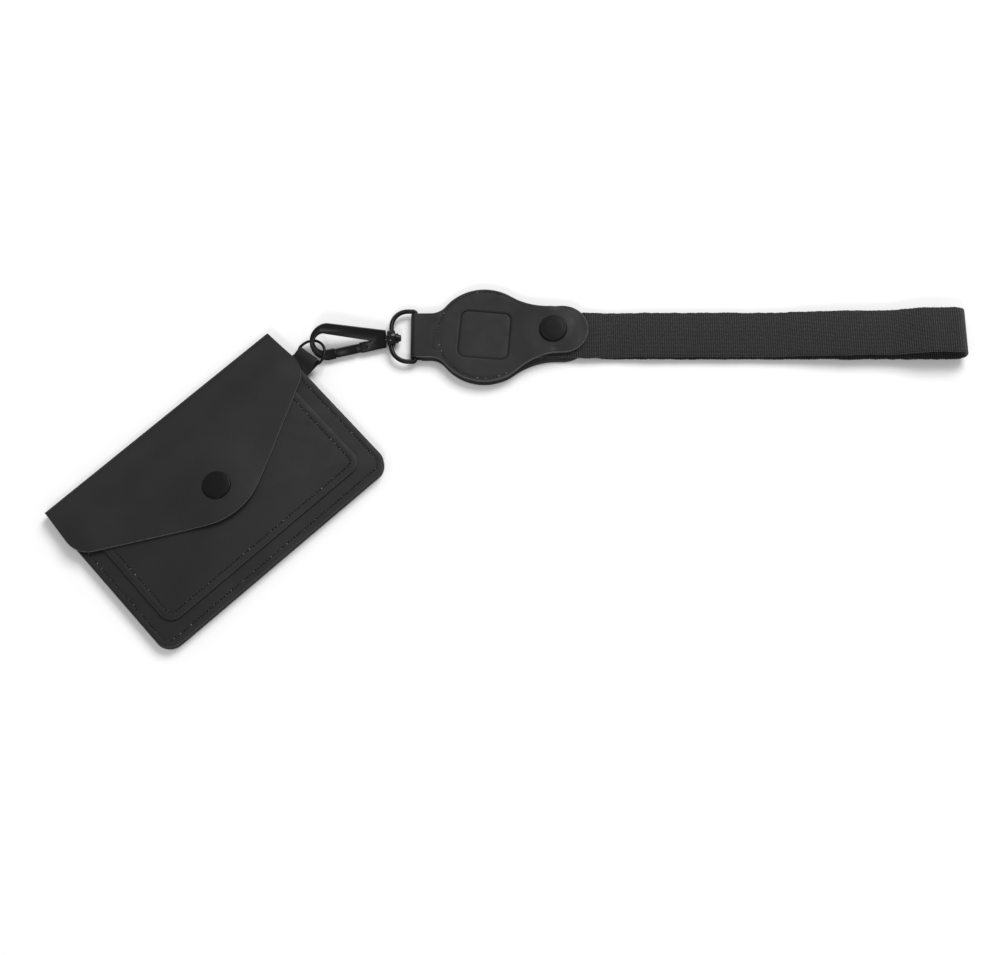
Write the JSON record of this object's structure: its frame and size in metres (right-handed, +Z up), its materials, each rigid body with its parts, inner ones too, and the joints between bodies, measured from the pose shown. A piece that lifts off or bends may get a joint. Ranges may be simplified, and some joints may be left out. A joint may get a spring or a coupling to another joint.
{
  "type": "card pouch",
  "caption": "Leather card pouch with a snap-closed envelope flap, on a swivel snap hook, with a round tracker holder and a woven webbing wrist loop.",
  "frame": {"origin": "centre of the pouch's back face, on the surface that everything lies on", "axes": "+X along the wrist strap, from the pouch's side towards the loop's end; +Y across it, on the side of the pouch's fold; +Z up, out of the pouch's front"},
  "size_m": [0.3882, 0.1581, 0.0109],
  "materials": {
    "leather": "matte, fine grain",
    "lining": "matte, split side and cut edges",
    "thread": "matte",
    "black_metal": "satin black coating",
    "spring_wire": "bright",
    "webbing": "woven, matte"
  },
  "bodies": {
    "pouch": {"back_panel": "leather", "card_divider": "lining", "seam_welts": "lining", "front_panel": "leather", "front_pocket": "leather", "pouch_stitching": "thread", "pocket_stitching": "thread", "ring_tab": "leather", "pouch_stud": "black_metal", "pouch_stud_rivet": "black_metal"},
    "flap": {"flap": "leather", "flap_cap": "black_metal", "flap_socket": "black_metal"},
    "ring": {"pouch_ring": "black_metal"},
    "hook": {"hook_frame": "black_metal", "gate_pin": "black_metal", "gate_spring": "spring_wire", "swivel_rivet": "black_metal"},
    "gate": {"gate": "black_metal"},
    "eye": {"swivel_eye": "black_metal"},
    "holder": {"holder_back": "leather", "neck_loop": "leather", "pocket_rim": "lining", "holder_front": "leather", "window_lining": "leather", "holder_stitching": "thread", "holder_stud": "black_metal", "holder_stud_rivet": "black_metal", "wrist_strap": "webbing"},
    "tongue": {"holder_tongue": "leather", "tongue_cap": "black_metal", "tongue_socket": "black_metal"}
  },
  "joints": [
    {"name": "flap_fold", "type": "hinge", "parent": "pouch", "child": "flap", "pos_m": [-0.02529, 0.02769, 0.003], "axis": [-0.7385, -0.6743, 0], "range_deg": [0, 175]},
    {"name": "ring_swing", "type": "hinge", "parent": "pouch", "child": "ring", "pos_m": [0.03526, 0.05956, 0.0038], "axis": [0.7076, -0.6507, 0.2756], "range_deg": [-50, 90]},
    {"name": "hook_swing", "type": "hinge", "parent": "ring", "child": "hook", "pos_m": [0.04038, 0.06551, 0.00473], "axis": [0.7076, -0.6507, 0.2756], "range_deg": [-15, 90]},
    {"name": "gate_pivot", "type": "hinge", "parent": "hook", "child": "gate", "pos_m": [0.05958, 0.06462, 0.00265], "axis": [-0.1029, 0.538, -0.8366], "range_deg": [0, 20], "stiffness_Nm_per_rad": 0.02, "springref_deg": -17.19},
    {"name": "swivel", "type": "hinge", "parent": "hook", "child": "eye", "pos_m": [0.07062, 0.06805, 0.0035], "axis": [0.9942, 0.0817, -0.0698], "continuous": true},
    {"name": "holder_swing", "type": "hinge", "parent": "eye", "child": "holder", "pos_m": [0.081, 0.06925, 0.00278], "axis": [0, -1, 0], "range_deg": [-80, 80]},
    {"name": "tongue_lift", "type": "hinge", "parent": "holder", "child": "tongue", "pos_m": [0.1244, 0.06925, 0.005], "axis": [0, -1, 0], "range_deg": [0, 110]}
  ]
}
